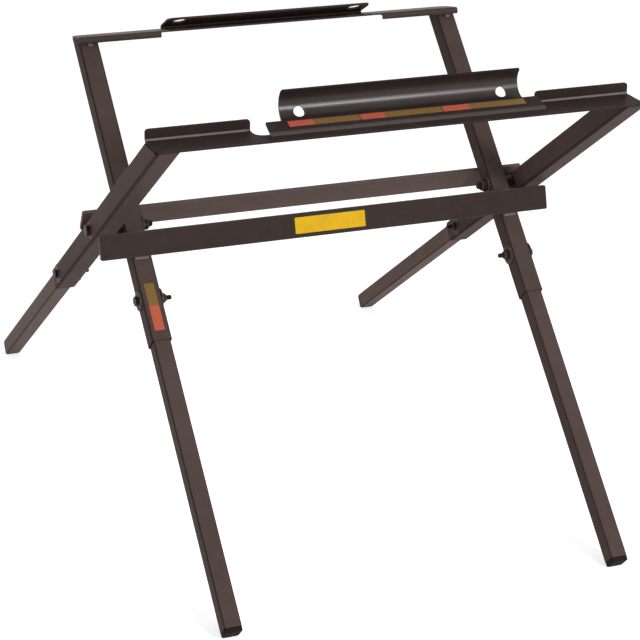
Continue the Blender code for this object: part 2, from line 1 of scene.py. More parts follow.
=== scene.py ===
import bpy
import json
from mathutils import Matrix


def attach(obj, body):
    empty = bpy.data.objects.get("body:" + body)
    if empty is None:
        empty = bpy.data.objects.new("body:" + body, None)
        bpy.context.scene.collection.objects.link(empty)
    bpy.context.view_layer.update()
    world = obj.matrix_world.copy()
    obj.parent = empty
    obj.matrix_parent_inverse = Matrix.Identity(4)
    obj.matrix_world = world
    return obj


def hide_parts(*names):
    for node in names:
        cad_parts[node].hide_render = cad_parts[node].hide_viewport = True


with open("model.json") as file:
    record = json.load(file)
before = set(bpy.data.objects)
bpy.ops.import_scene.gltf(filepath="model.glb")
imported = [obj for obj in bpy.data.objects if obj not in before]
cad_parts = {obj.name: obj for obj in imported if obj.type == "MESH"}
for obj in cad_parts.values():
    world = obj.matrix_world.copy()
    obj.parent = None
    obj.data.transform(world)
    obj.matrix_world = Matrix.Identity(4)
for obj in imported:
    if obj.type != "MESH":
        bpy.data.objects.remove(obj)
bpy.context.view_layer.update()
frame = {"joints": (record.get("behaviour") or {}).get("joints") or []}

import json
import math

import bmesh
import bpy
from mathutils import Matrix, Vector

# Folding saw stand in dark powder coat. Metres, +X right, -Y front, +Z up, floor at zero

pivot = Vector(frame["joints"][0]["pos_m"])
sides = {"left": -1, "right": 1}
touching = 1e-7  # points nearer than this are one
nearly = 1e-5  # a difference too small to count
squareOn = 0.9  # how square a face is to the axis that it looks along

# What the two frames share. Leans are from the vertical
stand = {
    "halfWidth": 0.2985, "legSide": 0.0254, "lowerSide": 0.0218, "fit": 0.0003,
    "outerLegX": 0.2858, "innerLegX": 0.2478,
    "outerLean": math.radians(54.96), "innerLean": math.radians(46.23),
}
frames = {
    "outer": {"lean": stand["outerLean"], "x": stand["outerLegX"], "body": "outer_frame"},
    "inner": {"lean": -stand["innerLean"], "x": stand["innerLegX"], "body": "inner_frame"},
}


def shade(red, green, blue):
    return (red, green, blue, 1)


def gray(level):
    return shade(level, level, level)


def lifted(tone, lift):
    return shade(*(min(channel * lift, 1) for channel in tone[:3]))


# Shader sums written as sums
class Wire:
    def __init__(self, graph, socket):
        self.graph = graph
        self.socket = socket

    def sum(self, operation, first, second):
        return self.graph.node("ShaderNodeMath", {"operation": operation}, {0: first, 1: second})

    def __add__(self, other):
        return self.sum("ADD", self, other)

    def __radd__(self, other):
        return self.sum("ADD", other, self)

    def __sub__(self, other):
        return self.sum("SUBTRACT", self, other)

    def __rsub__(self, other):
        return self.sum("SUBTRACT", other, self)

    def __mul__(self, other):
        return self.sum("MULTIPLY", self, other)

    def __rmul__(self, other):
        return self.sum("MULTIPLY", other, self)

    def over(self, edge):
        return self.sum("GREATER_THAN", self, edge)

    def under(self, edge):
        return self.sum("LESS_THAN", self, edge)


# The nodes of one material, or of the world
class Graph:
    def __init__(self, name, library=bpy.data.materials):
        self.owner = library.new(name)
        self.owner.use_nodes = True
        self.tree = self.owner.node_tree

    def node(self, kind, settings=None, inputs=None, output=0):
        made = self.tree.nodes.new(kind)
        for key, value in (settings or {}).items():
            if key == "stops":
                for stop, (place, level) in zip(made.color_ramp.elements, value):
                    stop.position = place
                    stop.color = gray(level)
            else:
                setattr(made, key, value)
        for key, value in (inputs or {}).items():
            self.feed(made.inputs[key], value)
        return Wire(self, made.outputs[output])

    def feed(self, socket, value):
        if isinstance(value, Wire):
            self.tree.links.new(value.socket, socket)
        else:
            socket.default_value = value

    def finish(self, **values):
        shader = self.tree.nodes["Principled BSDF"]
        for key, value in values.items():
            self.feed(shader.inputs[key.replace("_", " ")], value)
        return self.owner

    def surface(self, shader):
        self.feed(self.tree.get_output_node("ALL").inputs["Surface"], shader)
        return self.owner

    def here(self):
        return self.node("ShaderNodeTexCoord", output=3)

    def stretched(self, scale):
        return self.node("ShaderNodeMapping", {}, {"Vector": self.here(), "Scale": scale})

    def noise(self, place, grain):
        inputs = dict(zip(("Scale", "Detail", "Roughness"), grain), Vector=place)
        return self.node("ShaderNodeTexNoise", {}, inputs)

    def ramp(self, value, edges):
        stops = list(zip(edges, (0, 1)))
        return self.node("ShaderNodeValToRGB", {"stops": stops}, {0: value})

    def patches(self, place, spec, name):
        return self.ramp(self.noise(place, spec[name]), spec[name + "Edges"])

    def blend(self, mask, first, second):
        inputs = {0: mask, 6: first, 7: second}
        return self.node("ShaderNodeMix", {"data_type": "RGBA"}, inputs, 2)

    def bump(self, skin, lumps, amount=1.0):
        strength = skin["strength"] * amount
        inputs = {"Strength": strength, "Distance": skin["height"], "Height": lumps}
        return self.node("ShaderNodeBump", {}, inputs)

    def mark(self, layer):
        return self.node("ShaderNodeAttribute", {"attribute_name": layer}, output=2)


# Powder coat: a satin skin with a fine orange peel, soft cloudiness, dust, and rubbed edges that
# also carry a painted highlight. Each piece's faces carry wear with a painted edge highlight, a
# painted highlight and painted shade, and the lip's points carry gloss. A noise is its scale,
# detail and roughness, and its edges are where a mask of it starts and is full
coat = {
    "tone": shade(0.047, 0.0325, 0.0295), "deep": shade(0.038, 0.026, 0.0235),
    # The second colour here is painted shade
    "dust": shade(0.095, 0.076, 0.070), "grime": shade(0.0075, 0.0052, 0.0042),
    # The first colour here is a painted highlight; the second lightens edges, partly wear and
    # partly a painted highlight
    "gleam": shade(0.27, 0.235, 0.225), "rubbedAndHighlit": shade(0.15, 0.13, 0.122),
    "tint": shade(1, 0.86, 0.82), "roughness": 0.36, "glossRoughness": 0.31,
    "cloud": (7, 3, 0.55), "cloudEdges": (0.36, 0.64), "cloudShare": 0.6,
    "mottle": (46, 4, 0.6), "mottleShare": 0.4, "mottleRough": 0.12,
    "peel": (620, 2, 0.5), "peelShare": 0.8, "strength": 0.18, "height": 0.00025,
    "fleck": (2400, 1, 0.5), "fleckEdges": (0.60, 0.78), "fleckShare": 0.25, "fleckDust": 0.16,
    "dusty": (19, 6, 0.68), "dustyEdges": (0.56, 0.80), "dustyDust": 0.15, "dustyRough": 0.10,
    "streak": (1, 4, 0.6), "streakEdges": (0.64, 0.78), "streakDust": 0.07,
    "streakScales": (14, 260, 260),
    "rub": (150, 4, 0.65), "rubEdges": (0.44, 0.62), "rubSmooth": 0.08,
    "wornEdge": 0.16, "rubbedEdge": 0.34,
}


def makeCoat(name, lift, sheen, grain=1.0, gloss=0.0):
    g = Graph(name)
    here = g.here()
    cloud, mottle, peel, fleck = (
        g.noise(here, coat[noise]) for noise in ("cloud", "mottle", "peel", "fleck")
    )
    dusty = g.patches(here, coat, "dusty")
    streak = g.patches(g.stretched(coat["streakScales"]), coat, "streak")
    rub = g.patches(here, coat, "rub")
    edge = g.mark("wearAndHighlight")
    clouds = g.ramp(cloud * coat["cloudShare"] + mottle * coat["mottleShare"], coat["cloudEdges"])
    color = g.blend(clouds, lifted(coat["deep"], lift), lifted(coat["tone"], lift))
    flecks = g.ramp(fleck, coat["fleckEdges"]) * (coat["fleckDust"] * grain)
    color = g.blend(flecks, color, coat["dust"])
    dirt = (dusty * coat["dustyDust"] + streak * coat["streakDust"]) * grain
    color = g.blend(dirt, color, coat["dust"])
    # Edges are lightened: partly wear, partly a painted edge highlight
    worn = edge * (coat["wornEdge"] + rub * coat["rubbedEdge"])
    color = g.blend(worn, color, coat["rubbedAndHighlit"])
    # Painted highlight and painted shade, laid on where the faces' marks say
    for mark in ("gleam", "grime"):
        color = g.blend(g.mark(mark), color, coat[mark])
    uneven = ((mottle - 0.5) * coat["mottleRough"] + dusty * coat["dustyRough"]) * grain
    rough = coat["roughness"] + uneven - edge * rub * coat["rubSmooth"]
    peeled = g.bump(coat, peel * coat["peelShare"] + fleck * coat["fleckShare"], grain)
    if gloss:
        g.finish(Coat_Weight=g.mark("gloss") * gloss, Coat_Roughness=coat["glossRoughness"])
    return g.finish(
        Base_Color=color, Roughness=rough, Specular_IOR_Level=sheen, Specular_Tint=coat["tint"],
        Normal=peeled,
    )


# Weld metal under the same coat: lumpier, with a little spatter
weldSkin = {
    "lump": (420, 3, 0.6), "spatter": (900, 2, 0.5), "spatterEdges": (0.60, 0.72),
    "spatterShare": 0.5, "strength": 0.5, "height": 0.0005, "uneven": 0.2,
}


def makeWeldCoat(name, low, high):
    g = Graph(name)
    here = g.here()
    lump = g.noise(here, weldSkin["lump"])
    spatter = g.patches(here, weldSkin, "spatter")
    lumps = lump + spatter * weldSkin["spatterShare"]
    return g.finish(
        Base_Color=g.blend(lump, low, high),
        Roughness=coat["roughness"] + lump * weldSkin["uneven"],
        Normal=g.bump(weldSkin, lumps),
    )


# Moulded foot plugs: matt, with a spark-eroded skin, scuffed where they meet the floor
plugSkin = {
    "tone": shade(0.0165, 0.0125, 0.0118), "scuff": shade(0.06, 0.054, 0.051),
    "roughness": 0.62, "uneven": 0.2, "sheen": 0.02,
    "grit": (1500, 2, 0.6), "strength": 0.4, "height": 0.0002,
    "patch": (120, 5, 0.7), "patchEdges": (0.5, 0.66), "patchShare": 0.4,
    "soleFade": 90, "soleEdges": (0.35, 0.95), "scuffAll": 0.12, "scuffSole": 0.55,
}


def makePlugPlastic():
    g = Graph("footPlastic")
    here = g.here()
    patch = g.patches(here, plugSkin, "patch")
    height = g.node("ShaderNodeSeparateXYZ", {}, {0: here}, 2)
    sole = g.ramp(1 - height * plugSkin["soleFade"], plugSkin["soleEdges"])
    scuff = patch * (plugSkin["scuffAll"] + sole * plugSkin["scuffSole"])
    grain = g.noise(here, plugSkin["grit"]) + patch * plugSkin["patchShare"]
    return g.finish(
        Base_Color=g.blend(scuff, plugSkin["tone"], plugSkin["scuff"]),
        Roughness=plugSkin["roughness"] + scuff * plugSkin["uneven"],
        Specular_IOR_Level=plugSkin["sheen"], Normal=g.bump(plugSkin, grain),
    )


# Fasteners: blackened bolts and nuts, and washers a little paler. Their lighter edges are partly
# wear and partly a painted highlight
steels = {
    "boltSteel": {
        "tone": shade(0.014, 0.009, 0.008), "worn": shade(0.050, 0.034, 0.030),
        "roughness": 0.26, "metallic": 0.20,
    },
    "washerSteel": {
        "tone": shade(0.034, 0.024, 0.021), "worn": shade(0.10, 0.078, 0.070),
        "roughness": 0.34, "metallic": 0.12,
    },
    "edge": shade(0.26, 0.23, 0.21), "edgeAmount": 0.30, "sheen": 0.015,
    "bloom": (240, 4, 0.62), "bloomEdges": (0.38, 0.66), "bloomRough": 0.26,
    "turning": (1, 2, 0.5), "turningScales": (2600, 500, 500), "strength": 0.22,
    "height": 0.0001,
}


def makeSteel(name):
    spec = steels[name]
    g = Graph(name)
    bloom = g.noise(g.here(), steels["bloom"])
    turning = g.noise(g.stretched(steels["turningScales"]), steels["turning"])
    color = g.blend(g.ramp(bloom, steels["bloomEdges"]), spec["tone"], spec["worn"])
    # Lighter edges and rims: partly wear, partly a painted highlight
    return g.finish(
        Base_Color=g.blend(g.mark("wearAndHighlight") * steels["edgeAmount"], color, steels["edge"]),
        Roughness=spec["roughness"] + (bloom - 0.5) * steels["bloomRough"],
        Metallic=spec["metallic"], Specular_IOR_Level=steels["sheen"],
        Normal=g.bump(steels, turning),
    )


# Blank vinyl labels: plain fields of colour with a fine print grain and no words
vinyl = {
    "gold": shade(0.215, 0.120, 0.040), "clay": shade(0.52, 0.105, 0.060),
    "amber": shade(0.75, 0.43, 0.008), "ink": shade(0.022, 0.018, 0.017),
    "print": shade(0.07, 0.050, 0.026), "fade": shade(0.12, 0.085, 0.045),
    "roughness": 0.42, "uneven": 0.12, "sheen": 0.05,
    "dots": (1700, 2, 0.6), "dotEdges": (0.42, 0.66), "dotAmount": 0.40,
    "fading": (60, 4, 0.6), "fadeEdges": (0.45, 0.75), "fadeAmount": 0.14,
    "strength": 0.08, "height": 0.0001,
}


def makeVinyl(name, base, fields=(), axis=0):
    g = Graph(name)
    here = g.here()
    along = g.node("ShaderNodeSeparateXYZ", {}, {0: here}, axis)
    color = vinyl[base]
    for low, high in fields:
        color = g.blend(along.over(low) * along.under(high), color, vinyl["clay"])
    dots = g.noise(here, vinyl["dots"])
    fade = g.noise(here, vinyl["fading"])
    color = g.blend(g.ramp(dots, vinyl["dotEdges"]) * vinyl["dotAmount"], color, vinyl["print"])
    color = g.blend(g.ramp(fade, vinyl["fadeEdges"]) * vinyl["fadeAmount"], color, vinyl["fade"])
    return g.finish(
        Base_Color=color, Roughness=vinyl["roughness"] + fade * vinyl["uneven"],
        Specular_IOR_Level=vinyl["sheen"], Normal=g.bump(vinyl, dots),
    )


# Each coat's lift and sheen, and the saddle's grain and gloss. The lifts make lit and shaded
# copies
# of one coat: partly the pieces' own tone, partly painted light and shade for how light falls on
# them
coats = {
    "frontRail": (0.74, 0.01), "saddle": (0.54, 0.01, 0.5, 0.58), "rearRail": (1.4, 0.02),
    "innerTube": (1.7, 0.004), "outerTube": (1.9, 0.004), "innerLowerTube": (1.8, 0.004),
    "outerLowerTube": (3.5, 0.004), "frontBar": (0.68, 0.06), "rearBar": (2.4, 0.06),
}
paints = {name: makeCoat(f"{name}Coat", *look) for name, look in coats.items()}
weldPaint = makeWeldCoat("weldCoat", coat["deep"], coat["dust"])
# A pale weld coat: a painted glint on the small welds under the front bar and the rear rail's
# flange
glintWeldPaint = makeWeldCoat("paintedGlintWeldCoat", coat["dust"], coat["gleam"])
plugPlastic = makePlugPlastic()
boltSteel = makeSteel("boltSteel")
washerSteel = makeSteel("washerSteel")
print("materials made")


# A new bmesh whose faces carry marks that the materials read
def newMesh(*layers):
    bm = bmesh.new()
    for layer in layers:
        bm.faces.layers.float.new(layer)
    return bm


def meshFrom(bm, name):
    mesh = bpy.data.meshes.new(name)
    bm.to_mesh(mesh)
    bm.free()
    return mesh


def addObject(name, data):
    added = bpy.data.objects.new(name, data)
    bpy.context.scene.collection.objects.link(added)
    return added


# Edges sharper than an angle stay sharp, and large faces lead the shading
shading = {"sharpAngle": 38, "beadAngle": 60, "faceWeight": 80}


# A bmesh becomes a named piece on a body, with its place in its mesh
def finishPiece(
    bm, name, body, material, replaced=(), place=None,
    angle=shading["sharpAngle"],
):
    if place:
        bmesh.ops.transform(bm, matrix=place, verts=bm.verts[:])
    bmesh.ops.recalc_face_normals(bm, faces=bm.faces[:])
    mesh = meshFrom(bm, name)
    mesh.shade_smooth()
    mesh.set_sharp_from_angle(angle=math.radians(angle))
    mesh.materials.append(material)
    piece = addObject(name, mesh)
    weighted = piece.modifiers.new("weighted", "WEIGHTED_NORMAL")
    weighted.keep_sharp = True
    weighted.weight = shading["faceWeight"]
    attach(piece, body)
    if replaced:
        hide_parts(*replaced)


def drawCircle(bm, radius, segments, place=Matrix(), cap=False):
    return bmesh.ops.create_circle(
        bm, cap_ends=cap, segments=segments, radius=radius, matrix=place
    )["verts"]


def fillBetween(bm, edges, facing):
    bmesh.ops.triangle_fill(bm, use_beauty=True, use_dissolve=False, edges=edges, normal=facing)


def drawBlock(bm, size, centre):
    block = bmesh.ops.create_cube(bm, size=1)["verts"]
    bmesh.ops.scale(bm, vec=size, verts=block)
    bmesh.ops.translate(bm, vec=centre, verts=block)


def sharpEdges(bm, angle=50):
    return [
        edge for edge in bm.edges
        if len(edge.link_faces) == 2 and edge.calc_face_angle(0) > math.radians(angle)
    ]


def roundOff(bm, geom, offset, segments, affect="EDGES", clamp=True):
    return bmesh.ops.bevel(
        bm, geom=geom, offset=offset, offset_type="OFFSET", segments=segments, profile=0.5,
        affect=affect, clamp_overlap=clamp, material=-1,
    )["faces"]


# A block whose edges along one axis are rounded
def roundedBlock(bm, size, centre, axis, corner):
    drawBlock(bm, size, centre)
    along = [
        edge for edge in bm.edges
        if abs((edge.verts[0].co - edge.verts[1].co)[axis]) > nearly
    ]
    roundOff(bm, along, corner, 5)


# A small round on which the coat is lighter, partly wear and partly a painted edge highlight
def softenEdges(bm, edges, offset, segments=2):
    worn = bm.faces.layers.float["wearAndHighlight"]
    for face in roundOff(bm, edges, offset, segments):
        face[worn] = 1.0


def cutPlane(bm, point, facing, clear=False):
    bmesh.ops.bisect_plane(
        bm, geom=bm.verts[:] + bm.edges[:] + bm.faces[:], dist=touching,
        plane_co=point, plane_no=facing, clear_outer=clear,
    )


def pushFaces(bm, faces, move):
    grown = bmesh.ops.extrude_face_region(bm, geom=faces)["geom"]
    moved = [item for item in grown if isinstance(item, bmesh.types.BMVert)]
    bmesh.ops.translate(bm, vec=move, verts=moved)


def legPlace(lean, x=0.0):
    return Matrix.Translation((x, pivot.y, pivot.z)) @ Matrix.Rotation(lean, 4, "X")


# The way up a frame's legs, and the way that their upper faces look
def legAxes(name):
    lean = frames[name]["lean"]
    up = Vector((0, -math.sin(lean), math.cos(lean)))
    out = Vector((0, math.cos(lean), math.sin(lean)))
    return up, out * math.copysign(1, lean)


# Square tubes, drawn with soft corners and open ends, with painted shade along the corners and on
# the cut ends
tube = {
    "wall": 0.0015, "soften": 0.0002, "cornerPaintedShade": 0.5, "endPaintedShade": 0.85, "endFacing": 0.6,
    "high": 0.5,
}


def squareTube(side, corner, low, high, place, cut):
    bm = newMesh("wearAndHighlight", "grime")
    grime = bm.faces.layers.float["grime"]
    roundedBlock(bm, (side, side, high - low), (0, 0, (high + low) / 2), 2, corner)
    bm.normal_update()
    ends = [face for face in bm.faces if abs(face.normal.z) > squareOn]
    bmesh.ops.delete(bm, geom=ends, context="FACES_ONLY")
    for face in bm.faces:
        # Painted shade along the rounded corners
        if max(abs(face.normal.x), abs(face.normal.y)) < squareOn:
            face[grime] = tube["cornerPaintedShade"]
    bmesh.ops.transform(bm, matrix=place, verts=bm.verts[:])
    if cut:
        cutPlane(bm, *cut, clear=True)
    bmesh.ops.recalc_face_normals(bm, faces=bm.faces[:])
    skins = set(bm.faces)
    bmesh.ops.solidify(bm, geom=bm.faces[:], thickness=tube["wall"])
    bm.normal_update()
    along = place.to_3x3() @ Vector((0, 0, 1))
    # Painted shade on the cut ends
    for face in bm.faces:
        if face not in skins and abs(face.normal.dot(along)) > tube["endFacing"]:
            face[grime] = tube["endPaintedShade"]
    softenEdges(bm, sharpEdges(bm, 60), tube["soften"])
    return bm


# The rails' first lines as seen from the side, which the leg tubes are cut to
frontFold = {"front": pivot.y - 0.2806, "level": 0.556, "sheet": 0.0025}
rearFold = {
    "front": pivot.y + 0.168093, "level": 0.5674, "drop": 0.0075, "bend": 0.0045,
    "slope": math.radians(11), "sheet": 0.0025,
}
legs = {
    "outer": {"tubeEnd": 0.2326, "joint": 0.2042, "reach": 0.634095},
    "inner": {"tubeEnd": 0.1612, "joint": 0.102, "reach": 0.528010},
    "tubeCorner": 0.003, "lowerCorner": 0.0025, "overlap": 0.030, "plugHead": 0.0055,
}


# The plane just under a rail's sheet, as a point on it and the way it faces
def railCut(name):
    if name == "outer":
        level = frontFold["level"] - frontFold["sheet"] - stand["fit"]
        return Vector((0, 0, level)), Vector((0, 0, 1))
    slope = rearFold["slope"]
    bendEnd = Vector((
        0,
        rearFold["front"] + rearFold["bend"] * (1 + math.sin(slope)),
        rearFold["level"] - rearFold["bend"] * (1 - math.cos(slope)),
    ))
    facing = Vector((0, math.sin(slope), math.cos(slope)))
    return bendEnd - facing * (rearFold["sheet"] + stand["fit"]), facing


def makeLegs():
    for name, spec in frames.items():
        sizes = legs[name]
        plugTop = -(sizes["reach"] - legs["plugHead"] - stand["fit"])
        tubes = [
            ("Tube", "leg", stand["legSide"], legs["tubeCorner"], -sizes["tubeEnd"],
             tube["high"], railCut(name)),
            ("LowerTube", "lower_leg", stand["lowerSide"], legs["lowerCorner"], plugTop,
             -(sizes["joint"] - legs["overlap"]), None),
        ]
        for sideName, side in sides.items():
            place = legPlace(spec["lean"], side * spec["x"])
            for title, node, width, corner, low, high, cut in tubes:
                finishPiece(
                    squareTube(width, corner, low, high, place, cut), f"{name}{title}_{sideName}",
                    spec["body"], paints[name + title], (f"{name}_{node}_{sideName}",),
                )


makeLegs()
print("leg tubes made")

# Foot plugs: a cap with a rounded sole, and a shank up inside the tube
plug = {
    "round": 0.0034, "sole": 0.0020, "edge": 0.0003, "shank": 0.0175, "shankLength": 0.022,
    "sink": 0.0002,
}


def makePlugs():
    side = stand["lowerSide"]
    head = legs["plugHead"]
    shank = (plug["shank"], plug["shank"], plug["shankLength"])
    for name, spec in frames.items():
        reach = legs[name]["reach"]
        for sideName, way in sides.items():
            bm = newMesh("wearAndHighlight")
            roundedBlock(bm, (side, side, head), (0, 0, -reach + head / 2), 2, plug["round"])
            low = [
                edge for edge in sharpEdges(bm)
                if max(vert.co.z for vert in edge.verts) < -reach + nearly
            ]
            softenEdges(bm, low, plug["sole"], 4)
            softenEdges(bm, sharpEdges(bm), plug["edge"])
            drawBlock(bm, shank, (0, 0, -reach + head + plug["shankLength"] / 2 - plug["sink"]))
            finishPiece(
                bm, f"{name}Plug_{sideName}", spec["body"], plugPlastic,
                (f"{name}_foot_{sideName}",), legPlace(spec["lean"], way * spec["x"]),
            )


makePlugs()
print("foot plugs made")

# Folded sheet: a flat blank is drawn with X along the rail and Y along the sheet, then creased
# and wrapped. A stretch is its start and end on the blank, its first point, heading and radius
folding = {
    "soften": 0.00035, "turnPerCrease": math.radians(7), "besideBend": 0.0006, "fromEdge": 0.0004,
}


def headingTo(heading):
    return Vector((math.cos(heading), math.sin(heading)))


def bendCentre(point, heading, radius):
    ahead = headingTo(heading)
    return point + Vector((-ahead.y, ahead.x)) * radius


def swung(point, centre, turn):
    arm = point - centre
    return centre + Vector((
        arm.x * math.cos(turn) - arm.y * math.sin(turn),
        arm.x * math.sin(turn) + arm.y * math.cos(turn),
    ))


def foldStretches(start, heading, moves):
    stretches = []
    point = Vector(start)
    travelled = 0.0
    for kind, *values in moves:
        if kind == "run":
            length = values[0]
            stretches.append((travelled, travelled + length, point.copy(), heading, 0.0))
            point = point + headingTo(heading) * length
        else:
            radius, turn = values
            length = radius * abs(turn)
            radius = math.copysign(radius, turn)
            stretches.append((travelled, travelled + length, point.copy(), heading, radius))
            point = swung(point, bendCentre(point, heading, radius), turn)
            heading += turn
        travelled += length
    return stretches


def foldPoint(stretches, distance):
    stretch = next((item for item in stretches if distance <= item[1] + touching), stretches[-1])
    start, _, point, heading, radius = stretch
    if not radius:
        return point + headingTo(heading) * (distance - start)
    return swung(point, bendCentre(point, heading, radius), (distance - start) / radius)


def creaseLines(stretches):
    lines = []
    for start, end, _, _, radius in stretches:
        if radius:
            steps = max(3, round((end - start) / abs(radius) / folding["turnPerCrease"]))
            lines += [start + (end - start) * step / steps for step in range(steps + 1)]
            lines += [start - folding["besideBend"], end + folding["besideBend"]]
    last = stretches[-1][1] - folding["fromEdge"]
    return [line for line in lines if folding["fromEdge"] < line < last]


# A corner is its x, its place along the sheet and its radius, and so is a hole
def cutBlank(bm, corners, holes):
    verts = [bm.verts.new((x, along, 0)) for x, along, _ in corners]
    bm.faces.new(verts)
    for radius in sorted({corner[2] for corner in corners if corner[2]}):
        rounded = [vert for vert, corner in zip(verts, corners) if corner[2] == radius]
        roundOff(bm, rounded, radius, 6, "VERTICES", False)
    bmesh.ops.delete(bm, geom=bm.faces[:], context="FACES_ONLY")
    for x, along, radius in holes:
        drawCircle(bm, radius, 40, Matrix.Translation((x, along, 0)))
    fillBetween(bm, bm.edges[:], (0, 0, 1))
    slugs = [
        face for face in bm.faces
        if any(
            (face.calc_center_median() - Vector((x, along, 0))).length < radius
            for x, along, radius in holes
        )
    ]
    bmesh.ops.delete(bm, geom=slugs, context="FACES_ONLY")
    for face in bm.faces:
        face.normal_update()
        if face.normal.z < 0:
            face.normal_flip()


# A mark is its layer, the stretch it lies on, its amount and its half width
def marksOn(layer, amounts, halfWidth):
    return [(layer, index, amount, halfWidth) for index, amount in amounts.items()]


def markFaces(bm, stretches, marks):
    for layer, index, amount, halfWidth in marks:
        start, end = stretches[index][:2]
        marked = bm.faces.layers.float[layer]
        for x in (-halfWidth, halfWidth):
            cutPlane(bm, (x, 0, 0), (1, 0, 0))
        for face in bm.faces:
            middle = face.calc_center_median()
            if start < middle.y < end and abs(middle.x) < halfWidth:
                face[marked] = amount


# A band of gloss that fades to both sides across one stretch
def markGloss(bm, stretches, shine):
    gloss = bm.verts.layers.float["gloss"]
    start, end = stretches[shine["stretch"]][:2]
    for vert in bm.verts:
        share = (vert.co.y - start) / (end - start)
        vert[gloss] = max(0.0, 1 - ((share - shine["middle"]) / shine["reach"]) ** 2)


def foldSheet(corners, holes, stretches, sheet, marks, shine=None):
    bm = newMesh("wearAndHighlight", "grime", "gleam")
    bm.verts.layers.float.new("gloss")
    cutBlank(bm, corners, holes)
    for line in creaseLines(stretches):
        cutPlane(bm, (0, line, 0), (0, 1, 0))
    markFaces(bm, stretches, marks)
    if shine:
        markGloss(bm, stretches, shine)
    for vert in bm.verts:
        y, z = foldPoint(stretches, vert.co.y)
        vert.co = (vert.co.x, y, z)
    bm.normal_update()
    bmesh.ops.solidify(bm, geom=bm.faces[:], thickness=sheet)
    bmesh.ops.recalc_face_normals(bm, faces=bm.faces[:])
    bm.normal_update()
    softenEdges(bm, sharpEdges(bm, 60), folding["soften"])
    return bm


def mirrored(half):
    return half + [(-x, along, radius) for x, along, radius in reversed(half)]


def bothSides(x, along, radius):
    return [(side * x, along, radius) for side in sides.values()]


# Front rail: an angle whose upright flange is cut away behind the saddle
frontRail = {
    "plate": 0.0446, "plateCorner": 0.005, "bend": 0.0020, "rise": 0.0132, "corner": 0.004,
    # A painted highlight along the crease between the plate and the flange
    "flangeInner": 0.1765, "notch": 0.021, "fillet": 0.011, "gleam": {1: 0.6},
    "paintedHighlightPast": 0.01,
}


def makeFrontRail():
    spec = frontRail
    half = stand["halfWidth"]
    stretches = foldStretches(
        (frontFold["front"], frontFold["level"]), 0,
        [
            ("run", spec["plate"] - spec["bend"]),
            ("bend", spec["bend"], math.pi / 2),
            ("run", spec["rise"] - spec["bend"]),
        ],
    )
    top = stretches[-1][1]
    outline = [
        (half, 0, spec["plateCorner"]),
        (half, top, spec["corner"]),
        (spec["flangeInner"], top, spec["corner"]),
        (spec["flangeInner"], spec["plate"] - spec["notch"], spec["fillet"]),
    ]
    marks = marksOn("gleam", spec["gleam"], half + spec["paintedHighlightPast"])
    bm = foldSheet(mirrored(outline), [], stretches, frontFold["sheet"], marks)
    finishPiece(bm, "frontRailSheet", "outer_frame", paints["frontRail"], ("front_rail",))


makeFrontRail()

# Saddle: a step up from the rail's front edge, a sloping shelf and a hollow lip with two holes
saddle = {
    "half": 0.1683, "rise": 0.0084, "bend": 0.004, "slope": math.radians(18), "shelf": 0.0226,
    "lipRadius": 0.018, "lipEnd": math.radians(55), "lipHalf": 0.1475, "taper": 0.0015,
    "corner": 0.0025, "footCorner": 0.0008, "shelfTaper": 0.0013, "shelfCorner": 0.0012,
    "lipFillet": 0.0015, "holeX": 0.1242, "holeRadius": 0.0065, "holeAngle": math.radians(-39),
    # A painted highlight along the bend at the top of the step, and faintly on the shelf
    "gleam": {1: 0.16, 2: 0.035}, "shine": {"stretch": 3, "middle": 0.36, "reach": 0.38},
}


def saddleStretches():
    spec = saddle
    turn = math.pi / 2 - spec["slope"]
    tangent = spec["bend"] * math.tan(turn / 2)
    return foldStretches(
        (frontFold["front"], frontFold["level"] + stand["fit"]), math.pi / 2,
        [
            ("run", spec["rise"] - stand["fit"] - tangent),
            ("bend", spec["bend"], -turn),
            ("run", spec["shelf"] - tangent),
            ("bend", spec["lipRadius"], spec["lipEnd"] + turn),
        ],
    )


def makeSaddle():
    spec = saddle
    stretches = saddleStretches()
    lipStart = stretches[2][1]
    tip = stretches[-1][1]
    startAngle = spec["slope"] - math.pi / 2
    hole = lipStart + spec["lipRadius"] * (spec["holeAngle"] - startAngle)
    outline = [
        (spec["half"], 0, spec["footCorner"]),
        (spec["half"], stretches[1][1], 0),
        (spec["half"] - spec["shelfTaper"], lipStart, spec["shelfCorner"]),
        (spec["lipHalf"], lipStart, spec["lipFillet"]),
        (spec["lipHalf"] - spec["taper"], tip, spec["corner"]),
    ]
    marks = marksOn("gleam", spec["gleam"], stand["halfWidth"])
    holes = bothSides(spec["holeX"], hole, spec["holeRadius"])
    bm = foldSheet(
        mirrored(outline), holes, stretches, frontFold["sheet"], marks, spec["shine"]
    )
    finishPiece(bm, "saddleSheet", "outer_frame", paints["saddle"], ("front_saddle",))


makeSaddle()

# Rear rail: a hanging front flange, a sloping plate cut away in the middle, and a hook rolled
# forward over it
rearRail = {
    "half": 0.2625, "depth": 0.047, "flangeInner": 0.1536, "notch": 0.008, "fillet": 0.007,
    "notchSlant": 0.1, "corner": 0.013, "flangeCorner": 0.0008, "endCorner": 0.0012,
    "root": 0.0012, "hookSlope": math.radians(28), "hookLength": 0.0346, "hookHalf": 0.1405,
    "hookCorner": 0.007, "hookFillet": 0.0015, "holeX": 0.1217, "holeRadius": 0.0094,
    # Painted shade on the hanging flange, on the plate under the hook, in the hook's root and on
    # the hook; a painted highlight on the sloping plate
    "holeBack": 0.0124, "grime": {0: 0.22}, "gleam": {2: 0.12},
    "hookPaintedShade": {2: 0.66, 3: 0.5, 4: 0.28}, "paintedShadePast": 0.001,
}


